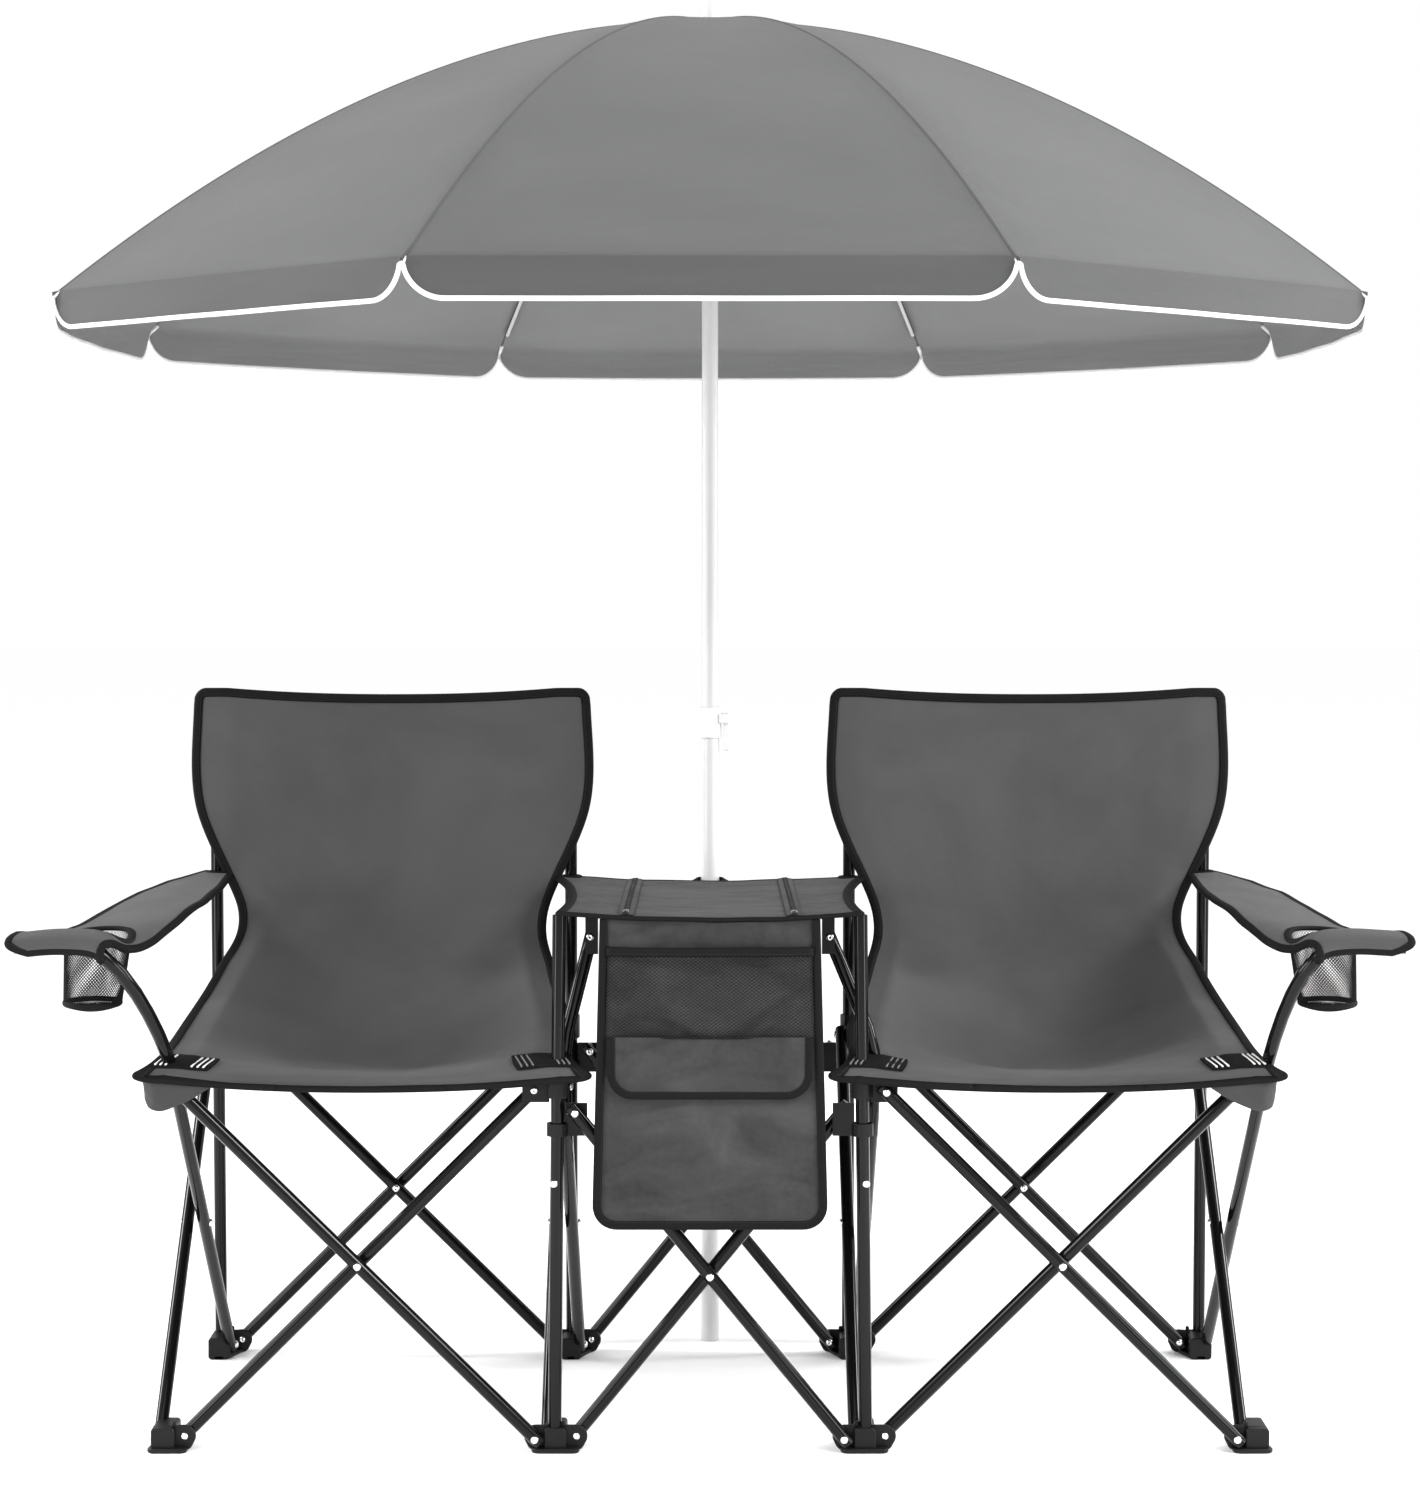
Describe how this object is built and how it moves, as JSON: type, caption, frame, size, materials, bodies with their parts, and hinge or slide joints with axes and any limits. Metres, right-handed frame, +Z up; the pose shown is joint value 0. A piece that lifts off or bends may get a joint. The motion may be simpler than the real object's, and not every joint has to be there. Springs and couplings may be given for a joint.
{
  "type": "folding camping loveseat",
  "caption": "Folding camp loveseat: sling chairs on a scissor frame either side of a cloth console table with pockets and cooler, under a telescoping umbrella.",
  "frame": {"origin": "on the floor, on the axis of the umbrella pole, under the middle of the canopy", "axes": "+Z up, -Y towards the front of the seats, +X to the right as seen from the front"},
  "size_m": [1.519, 1.519, 1.6601],
  "materials": {
    "black_tube": "semi-gloss powder coat",
    "black_moulding": "moulded, fine texture",
    "sling_cloth": "plain woven coated polyester with black binding",
    "console_cloth": "plain woven coated polyester with black binding",
    "canopy_cloth": "tight woven polyester with white binding",
    "white_pole": "satin white",
    "white_moulding": "satin white"
  },
  "bodies": {
    "rear_left_outer": {"left_outer_rear_foot": "black_moulding", "left_outer_upright": "black_tube", "left_armrest": "sling_cloth"},
    "front_left_outer": {"left_outer_front_foot": "black_moulding"},
    "left_outer_rear_hub": {"left_outer_rear_hub": "black_moulding"},
    "left_outer_front_hub": {"left_outer_front_hub": "black_moulding"},
    "left_outer_back_brace": {"left_outer_back_brace": "black_tube"},
    "left_outer_arm_post": {"left_outer_arm_post": "black_tube"},
    "rear_left_inner": {"left_inner_rear_foot": "black_moulding", "left_inner_upright": "black_tube", "console_table": "console_cloth", "cooler_bag": "console_cloth"},
    "front_left_inner": {"left_inner_front_foot": "black_moulding", "left_inner_front_post": "black_tube", "console_pocket_panel": "console_cloth"},
    "left_inner_rear_hub": {"left_inner_rear_hub": "black_moulding"},
    "left_inner_front_hub": {"left_inner_front_hub": "black_moulding"},
    "left_inner_rear_collar": {"left_inner_rear_console_collar": "black_moulding"},
    "left_inner_front_collar": {"left_inner_front_console_collar": "black_moulding"},
    "left_inner_back_brace": {"left_inner_back_brace": "black_tube"},
    "left_inner_bracket_post": {"left_inner_bracket_post": "black_tube"},
    "rear_right_inner": {"right_inner_rear_foot": "black_moulding", "right_inner_upright": "black_tube"},
    "front_right_inner": {"right_inner_front_foot": "black_moulding", "right_inner_front_post": "black_tube"},
    "right_inner_rear_hub": {"right_inner_rear_hub": "black_moulding"},
    "right_inner_front_hub": {"right_inner_front_hub": "black_moulding"},
    "right_inner_rear_collar": {"right_inner_rear_console_collar": "black_moulding"},
    "right_inner_front_collar": {"right_inner_front_console_collar": "black_moulding"},
    "right_inner_back_brace": {"right_inner_back_brace": "black_tube"},
    "right_inner_bracket_post": {"right_inner_bracket_post": "black_tube"},
    "rear_right_outer": {"right_outer_rear_foot": "black_moulding", "right_outer_upright": "black_tube", "right_armrest": "sling_cloth"},
    "front_right_outer": {"right_outer_front_foot": "black_moulding"},
    "right_outer_rear_hub": {"right_outer_rear_hub": "black_moulding"},
    "right_outer_front_hub": {"right_outer_front_hub": "black_moulding"},
    "right_outer_back_brace": {"right_outer_back_brace": "black_tube"},
    "right_outer_arm_post": {"right_outer_arm_post": "black_tube"},
    "left_chair_rear_falling_tube": {"left_chair_rear_falling_tube": "black_tube"},
    "left_chair_rear_rising_tube": {"left_chair_rear_rising_tube": "black_tube"},
    "left_chair_front_falling_tube": {"left_chair_front_falling_tube": "black_tube"},
    "left_chair_front_rising_tube": {"left_chair_front_rising_tube": "black_tube"},
    "console_rear_falling_tube": {"console_rear_falling_tube": "black_tube"},
    "console_rear_rising_tube": {"console_rear_rising_tube": "black_tube"},
    "console_front_falling_tube": {"console_front_falling_tube": "black_tube"},
    "console_front_rising_tube": {"console_front_rising_tube": "black_tube"},
    "right_chair_rear_falling_tube": {"right_chair_rear_falling_tube": "black_tube"},
    "right_chair_rear_rising_tube": {"right_chair_rear_rising_tube": "black_tube"},
    "right_chair_front_falling_tube": {"right_chair_front_falling_tube": "black_tube"},
    "right_chair_front_rising_tube": {"right_chair_front_rising_tube": "black_tube"},
    "left_sling": {"left_sling": "sling_cloth"},
    "right_sling": {"right_sling": "sling_cloth"},
    "umbrella_pole": {"lower_pole": "white_pole", "pole_collar": "white_moulding"},
    "umbrella_mast": {"upper_pole": "white_pole", "umbrella_ribs": "white_moulding", "canopy": "canopy_cloth"},
    "collar_lever": {"collar_lever": "white_moulding"},
    "pocket_flap": {"pocket_flap": "console_cloth"}
  },
  "joints": [
    {"name": "fold", "type": "hinge", "parent": "rear_left_inner", "child": "left_chair_rear_falling_tube", "pos_m": [-0.192, -0.066, 0.016], "axis": [0, 1, 0], "range_deg": [0, 37], "deforming": ["left_sling", "right_sling", "console_table", "cooler_bag", "console_pocket_panel", "left_armrest", "right_armrest"]},
    {"name": "left_rear_crossing", "type": "hinge", "parent": "left_chair_rear_falling_tube", "child": "left_chair_rear_rising_tube", "pos_m": [-0.3847, -0.066, 0.2075], "axis": [0, 1, 0], "range_deg": [-74.2, 0]},
    {"name": "left_outer_rear_foot_pivot", "type": "hinge", "parent": "left_chair_rear_rising_tube", "child": "rear_left_outer", "pos_m": [-0.5774, -0.066, 0.016], "axis": [0, 1, 0], "range_deg": [0, 37.2]},
    {"name": "left_outer_rear_hub_pivot", "type": "hinge", "parent": "left_chair_rear_falling_tube", "child": "left_outer_rear_hub", "pos_m": [-0.5774, -0.066, 0.399], "axis": [0, 1, 0], "range_deg": [-37.2, 0]},
    {"name": "left_inner_rear_hub_pivot", "type": "hinge", "parent": "left_chair_rear_rising_tube", "child": "left_inner_rear_hub", "pos_m": [-0.192, -0.066, 0.399], "axis": [0, 1, 0], "range_deg": [0, 37.2]},
    {"name": "console_rear_pivot", "type": "hinge", "parent": "rear_left_inner", "child": "console_rear_rising_tube", "pos_m": [-0.147, -0.066, 0.016], "axis": [0, 1, 0], "range_deg": [-31.44, 0]},
    {"name": "console_rear_crossing", "type": "hinge", "parent": "console_rear_rising_tube", "child": "console_rear_falling_tube", "pos_m": [0, -0.066, 0.196], "axis": [0, 1, 0], "range_deg": [0, 62.67]},
    {"name": "right_inner_rear_foot_pivot", "type": "hinge", "parent": "console_rear_falling_tube", "child": "rear_right_inner", "pos_m": [0.147, -0.066, 0.016], "axis": [0, 1, 0], "range_deg": [-31.44, 0]},
    {"name": "right_inner_rear_collar_pivot", "type": "hinge", "parent": "console_rear_rising_tube", "child": "right_inner_rear_collar", "pos_m": [0.147, -0.066, 0.376], "axis": [0, 1, 0], "range_deg": [0, 31.44]},
    {"name": "left_inner_rear_collar_pivot", "type": "hinge", "parent": "console_rear_falling_tube", "child": "left_inner_rear_collar", "pos_m": [-0.147, -0.066, 0.376], "axis": [0, 1, 0], "range_deg": [-31.44, 0]},
    {"name": "right_rear_pivot", "type": "hinge", "parent": "rear_right_inner", "child": "right_chair_rear_rising_tube", "pos_m": [0.192, -0.066, 0.016], "axis": [0, 1, 0], "range_deg": [-37.2, 0]},
    {"name": "right_rear_crossing", "type": "hinge", "parent": "right_chair_rear_rising_tube", "child": "right_chair_rear_falling_tube", "pos_m": [0.3847, -0.066, 0.2075], "axis": [0, 1, 0], "range_deg": [0, 74.2]},
    {"name": "right_outer_rear_foot_pivot", "type": "hinge", "parent": "right_chair_rear_falling_tube", "child": "rear_right_outer", "pos_m": [0.5774, -0.066, 0.016], "axis": [0, 1, 0], "range_deg": [-37.2, 0]},
    {"name": "right_outer_rear_hub_pivot", "type": "hinge", "parent": "right_chair_rear_rising_tube", "child": "right_outer_rear_hub", "pos_m": [0.5774, -0.066, 0.399], "axis": [0, 1, 0], "range_deg": [0, 37.2]},
    {"name": "right_inner_rear_hub_pivot", "type": "hinge", "parent": "right_chair_rear_falling_tube", "child": "right_inner_rear_hub", "pos_m": [0.192, -0.066, 0.399], "axis": [0, 1, 0], "range_deg": [-37.2, 0]},
    {"name": "left_outer_side_pivot", "type": "hinge", "parent": "rear_left_outer", "child": "left_outer_arm_post", "pos_m": [-0.598, -0.092, 0.016], "axis": [1, 0, 0], "range_deg": [-37.2, 0]},
    {"name": "left_outer_side_crossing", "type": "hinge", "parent": "left_outer_arm_post", "child": "left_outer_back_brace", "pos_m": [-0.598, -0.2847, 0.2075], "axis": [1, 0, 0], "range_deg": [0, 74.2]},
    {"name": "left_outer_front_foot_pivot", "type": "hinge", "parent": "left_outer_back_brace", "child": "front_left_outer", "pos_m": [-0.598, -0.4774, 0.016], "axis": [1, 0, 0], "range_deg": [-37.2, 0]},
    {"name": "left_outer_front_hub_pivot", "type": "hinge", "parent": "left_outer_arm_post", "child": "left_outer_front_hub", "pos_m": [-0.598, -0.4774, 0.399], "axis": [1, 0, 0], "range_deg": [0, 37.2]},
    {"name": "left_inner_side_pivot", "type": "hinge", "parent": "rear_left_inner", "child": "left_inner_bracket_post", "pos_m": [-0.17, -0.092, 0.016], "axis": [1, 0, 0], "range_deg": [-37.2, 0]},
    {"name": "left_inner_side_crossing", "type": "hinge", "parent": "left_inner_bracket_post", "child": "left_inner_back_brace", "pos_m": [-0.17, -0.2847, 0.2075], "axis": [1, 0, 0], "range_deg": [0, 74.2]},
    {"name": "left_inner_front_foot_pivot", "type": "hinge", "parent": "left_inner_back_brace", "child": "front_left_inner", "pos_m": [-0.17, -0.4774, 0.016], "axis": [1, 0, 0], "range_deg": [-37.2, 0]},
    {"name": "left_inner_front_hub_pivot", "type": "hinge", "parent": "left_inner_bracket_post", "child": "left_inner_front_hub", "pos_m": [-0.17, -0.4774, 0.399], "axis": [1, 0, 0], "range_deg": [0, 37.2]},
    {"name": "right_inner_side_pivot", "type": "hinge", "parent": "rear_right_inner", "child": "right_inner_bracket_post", "pos_m": [0.17, -0.092, 0.016], "axis": [1, 0, 0], "range_deg": [-37.2, 0]},
    {"name": "right_inner_side_crossing", "type": "hinge", "parent": "right_inner_bracket_post", "child": "right_inner_back_brace", "pos_m": [0.17, -0.2847, 0.2075], "axis": [1, 0, 0], "range_deg": [0, 74.2]},
    {"name": "right_inner_front_foot_pivot", "type": "hinge", "parent": "right_inner_back_brace", "child": "front_right_inner", "pos_m": [0.17, -0.4774, 0.016], "axis": [1, 0, 0], "range_deg": [-37.2, 0]},
    {"name": "right_inner_front_hub_pivot", "type": "hinge", "parent": "right_inner_bracket_post", "child": "right_inner_front_hub", "pos_m": [0.17, -0.4774, 0.399], "axis": [1, 0, 0], "range_deg": [0, 37.2]},
    {"name": "right_outer_side_pivot", "type": "hinge", "parent": "rear_right_outer", "child": "right_outer_arm_post", "pos_m": [0.598, -0.092, 0.016], "axis": [1, 0, 0], "range_deg": [-37.2, 0]},
    {"name": "right_outer_side_crossing", "type": "hinge", "parent": "right_outer_arm_post", "child": "right_outer_back_brace", "pos_m": [0.598, -0.2847, 0.2075], "axis": [1, 0, 0], "range_deg": [0, 74.2]},
    {"name": "right_outer_front_foot_pivot", "type": "hinge", "parent": "right_outer_back_brace", "child": "front_right_outer", "pos_m": [0.598, -0.4774, 0.016], "axis": [1, 0, 0], "range_deg": [-37.2, 0]},
    {"name": "right_outer_front_hub_pivot", "type": "hinge", "parent": "right_outer_arm_post", "child": "right_outer_front_hub", "pos_m": [0.598, -0.4774, 0.399], "axis": [1, 0, 0], "range_deg": [0, 37.2]},
    {"name": "left_front_falling_pivot", "type": "hinge", "parent": "front_left_inner", "child": "left_chair_front_falling_tube", "pos_m": [-0.192, -0.5034, 0.016], "axis": [0, 1, 0], "range_deg": [0, 37.2]},
    {"name": "left_front_rising_pivot", "type": "hinge", "parent": "front_left_outer", "child": "left_chair_front_rising_tube", "pos_m": [-0.5774, -0.5034, 0.016], "axis": [0, 1, 0], "range_deg": [-37.2, 0]},
    {"name": "console_front_rising_pivot", "type": "hinge", "parent": "front_left_inner", "child": "console_front_rising_tube", "pos_m": [-0.147, -0.5034, 0.016], "axis": [0, 1, 0], "range_deg": [-31.44, 0]},
    {"name": "console_front_falling_pivot", "type": "hinge", "parent": "front_right_inner", "child": "console_front_falling_tube", "pos_m": [0.147, -0.5034, 0.016], "axis": [0, 1, 0], "range_deg": [0, 31.44]},
    {"name": "right_inner_front_collar_pivot", "type": "hinge", "parent": "console_front_rising_tube", "child": "right_inner_front_collar", "pos_m": [0.147, -0.5034, 0.376], "axis": [0, 1, 0], "range_deg": [0, 31.44]},
    {"name": "left_inner_front_collar_pivot", "type": "hinge", "parent": "console_front_falling_tube", "child": "left_inner_front_collar", "pos_m": [-0.147, -0.5034, 0.376], "axis": [0, 1, 0], "range_deg": [-31.44, 0]},
    {"name": "right_front_rising_pivot", "type": "hinge", "parent": "front_right_inner", "child": "right_chair_front_rising_tube", "pos_m": [0.192, -0.5034, 0.016], "axis": [0, 1, 0], "range_deg": [-37.2, 0]},
    {"name": "right_front_falling_pivot", "type": "hinge", "parent": "front_right_outer", "child": "right_chair_front_falling_tube", "pos_m": [0.5774, -0.5034, 0.016], "axis": [0, 1, 0], "range_deg": [0, 37.2]},
    {"name": "left_sling_draw", "type": "slide", "parent": "rear_left_inner", "child": "left_sling", "axis": [1, 0, 0], "range_m": [0, 0.15605]},
    {"name": "right_sling_draw", "type": "slide", "parent": "rear_right_inner", "child": "right_sling", "axis": [1, 0, 0], "range_m": [-0.15605, 0]},
    {"name": "umbrella_follow", "type": "slide", "parent": "rear_left_inner", "child": "umbrella_pole", "axis": [1, 0, 0], "range_m": [-0.11666, 0]},
    {"name": "umbrella_height", "type": "slide", "parent": "umbrella_pole", "child": "umbrella_mast", "axis": [0, 0, 1], "range_m": [-0.3, 0]},
    {"name": "collar_lever_turn", "type": "hinge", "parent": "umbrella_pole", "child": "collar_lever", "pos_m": [0.02, 0, 0.78], "axis": [0, -1, 0], "range_deg": [0, 100]},
    {"name": "pocket_flap_lift", "type": "hinge", "parent": "front_left_inner", "child": "pocket_flap", "pos_m": [0, -0.5307, 0.455], "axis": [-1, 0, 0], "range_deg": [0, 100]}
  ],
  "couplings": [
    {"joint": "left_rear_crossing", "follows": "fold", "ratio": -2},
    {"joint": "left_outer_rear_foot_pivot", "follows": "fold", "ratio": 1},
    {"joint": "left_outer_rear_hub_pivot", "follows": "fold", "ratio": -1},
    {"joint": "left_inner_rear_hub_pivot", "follows": "fold", "ratio": 1},
    {"joint": "console_rear_pivot", "follows": "fold", "ratio": -0.84425},
    {"joint": "console_rear_crossing", "follows": "fold", "ratio": 1.6885},
    {"joint": "right_inner_rear_foot_pivot", "follows": "fold", "ratio": -0.84425},
    {"joint": "right_inner_rear_collar_pivot", "follows": "fold", "ratio": 0.84425},
    {"joint": "left_inner_rear_collar_pivot", "follows": "fold", "ratio": -0.84425},
    {"joint": "right_rear_pivot", "follows": "fold", "ratio": -1},
    {"joint": "right_rear_crossing", "follows": "fold", "ratio": 2},
    {"joint": "right_outer_rear_foot_pivot", "follows": "fold", "ratio": -1},
    {"joint": "right_outer_rear_hub_pivot", "follows": "fold", "ratio": 1},
    {"joint": "right_inner_rear_hub_pivot", "follows": "fold", "ratio": -1},
    {"joint": "left_outer_side_pivot", "follows": "fold", "ratio": -1},
    {"joint": "left_outer_side_crossing", "follows": "fold", "ratio": 2},
    {"joint": "left_outer_front_foot_pivot", "follows": "fold", "ratio": -1},
    {"joint": "left_outer_front_hub_pivot", "follows": "fold", "ratio": 1},
    {"joint": "left_inner_side_pivot", "follows": "fold", "ratio": -1},
    {"joint": "left_inner_side_crossing", "follows": "fold", "ratio": 2},
    {"joint": "left_inner_front_foot_pivot", "follows": "fold", "ratio": -1},
    {"joint": "left_inner_front_hub_pivot", "follows": "fold", "ratio": 1},
    {"joint": "right_inner_side_pivot", "follows": "fold", "ratio": -1},
    {"joint": "right_inner_side_crossing", "follows": "fold", "ratio": 2},
    {"joint": "right_inner_front_foot_pivot", "follows": "fold", "ratio": -1},
    {"joint": "right_inner_front_hub_pivot", "follows": "fold", "ratio": 1},
    {"joint": "right_outer_side_pivot", "follows": "fold", "ratio": -1},
    {"joint": "right_outer_side_crossing", "follows": "fold", "ratio": 2},
    {"joint": "right_outer_front_foot_pivot", "follows": "fold", "ratio": -1},
    {"joint": "right_outer_front_hub_pivot", "follows": "fold", "ratio": 1},
    {"joint": "left_front_falling_pivot", "follows": "fold", "ratio": 1},
    {"joint": "left_front_rising_pivot", "follows": "fold", "ratio": -1},
    {"joint": "console_front_rising_pivot", "follows": "fold", "ratio": -0.84425},
    {"joint": "console_front_falling_pivot", "follows": "fold", "ratio": 0.84425},
    {"joint": "right_inner_front_collar_pivot", "follows": "fold", "ratio": 0.84425},
    {"joint": "left_inner_front_collar_pivot", "follows": "fold", "ratio": -0.84425},
    {"joint": "right_front_rising_pivot", "follows": "fold", "ratio": -1},
    {"joint": "right_front_falling_pivot", "follows": "fold", "ratio": 1},
    {"joint": "left_sling_draw", "follows": "fold", "m_per_rad": 0.23855},
    {"joint": "right_sling_draw", "follows": "fold", "m_per_rad": -0.23855},
    {"joint": "umbrella_follow", "follows": "fold", "m_per_rad": -0.17755}
  ]
}
